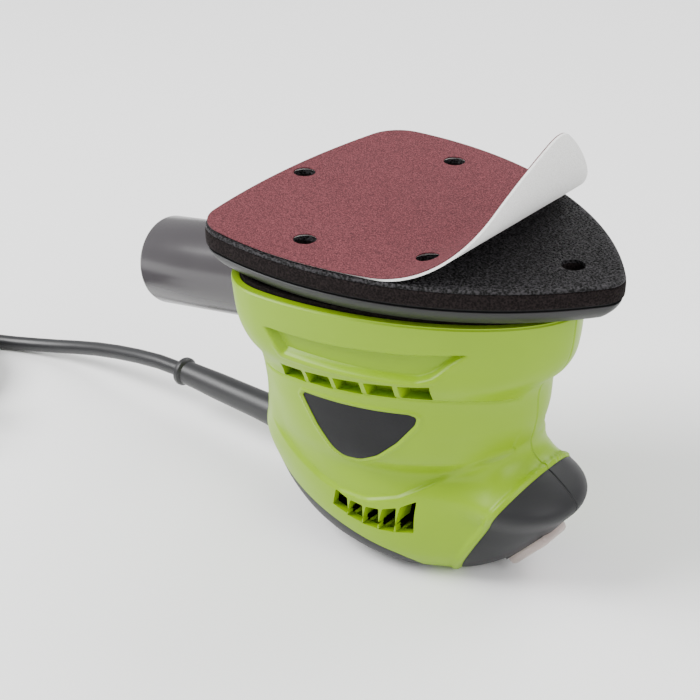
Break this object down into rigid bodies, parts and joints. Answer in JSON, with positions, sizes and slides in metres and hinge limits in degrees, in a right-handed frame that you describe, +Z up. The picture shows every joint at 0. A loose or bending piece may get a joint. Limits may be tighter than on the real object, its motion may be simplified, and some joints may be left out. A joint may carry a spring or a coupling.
{
  "type": "detail palm sander",
  "caption": "Corded palm sander with a delta pad: clamshell body, orbiting pad on an eccentric, nose switch, dust tube, cord with plug, and a hook-fixed sheet with its nose peeled up.",
  "frame": {"origin": "point on the flat of the crown (palm grip) below the motor's axis, on the resting surface", "axes": "+Z up along the motor's axis, from the crown to the sanding sole; +X towards the pad's nose; +Y to the left half of the clamshell. The tool rests upside down, as found"},
  "size_m": [0.3598, 0.1673, 0.1698],
  "materials": {
    "green_shell": "lightly textured satin",
    "soft_grip": "soft matte",
    "badge_plate": "fine texture",
    "black_plastic": "satin",
    "pale_plastic": "satin",
    "red_rocker": "gloss",
    "clear_boot": "translucent, soft",
    "cord_rubber": "satin",
    "capacitor_yellow": "gloss",
    "iron": "varnished laminations",
    "copper": "enamelled copper",
    "brass": "plain",
    "carbon": "dull graphite",
    "steel": "plain",
    "cast_aluminium": "die-cast",
    "plate_plastic": "satin",
    "tube_plastic": "gloss",
    "foam": "open-cell foam",
    "hooks": "hook pile",
    "fleece": "loop pile",
    "abrasive": "coated grit",
    "plated_brass": "nickel-plated"
  },
  "bodies": {
    "body": {"housing_left": "green_shell", "housing_right": "green_shell", "nose_grip_left": "soft_grip", "nose_grip_right": "soft_grip", "palm_grip": "soft_grip", "badge_left": "badge_plate", "badge_right": "badge_plate", "housing_screws": "steel", "switch_body": "black_plastic", "switch_boot": "clear_boot", "cord_guard": "cord_rubber", "inner_lead": "cord_rubber", "cord_clamp": "black_plastic", "clamp_screws": "steel", "terminal_block": "pale_plastic", "capacitor": "capacitor_yellow", "stator_core": "iron", "field_coils": "copper", "brush_holders": "brass", "carbon_brushes": "carbon", "brush_springs": "steel", "bearing_plate": "cast_aluminium", "plate_screws": "steel", "upper_bearing": "steel", "bearing_sleeve": "soft_grip", "lower_bearing": "steel", "dust_duct": "black_plastic", "dust_seal": "foam", "rubber_posts": "cord_rubber", "cord": "cord_rubber", "cord_coil": "cord_rubber", "cord_tie": "black_plastic", "plug_body": "cord_rubber", "plug_pins": "plated_brass"},
    "rotor": {"motor_shaft": "steel", "armature_core": "iron", "armature_winding": "copper", "commutator": "copper", "fan": "black_plastic", "eccentric": "cast_aluminium", "eccentric_washer": "steel", "eccentric_screw": "steel"},
    "pad": {"eccentric_bearing": "steel", "pad_hub": "cast_aluminium", "hub_screws": "steel", "base_plate": "plate_plastic", "foam_cushion": "foam", "hook_layer": "hooks"},
    "sheet": {"sheet_fleece": "fleece", "sheet_paper": "abrasive"},
    "rocker": {"switch_rocker": "red_rocker"},
    "outlet": {"dust_tube": "tube_plastic"}
  },
  "joints": [
    {"name": "motor_spin", "type": "hinge", "parent": "body", "child": "rotor", "pos_m": [0, 0, 0.05], "axis": [0, 0, 1], "continuous": true},
    {"name": "pad_orbit", "type": "hinge", "parent": "rotor", "child": "pad", "pos_m": [0.001, 0, 0.108], "axis": [0, 0, 1], "continuous": true},
    {"name": "switch_rock", "type": "hinge", "parent": "body", "child": "rocker", "pos_m": [0.05784, 0, 0.01544], "axis": [0, -1, 0], "range_deg": [0, 14]},
    {"name": "dust_tube_pull", "type": "slide", "parent": "body", "child": "outlet", "axis": [-0.9816, 0, -0.1908], "range_m": [0, 0.05]},
    {"name": "sheet_peel", "type": "slide", "parent": "pad", "child": "sheet", "axis": [0, 0, 1], "range_m": [0, 0.05]}
  ],
  "couplings": [
    {"joint": "pad_orbit", "follows": "motor_spin", "ratio": -1}
  ]
}
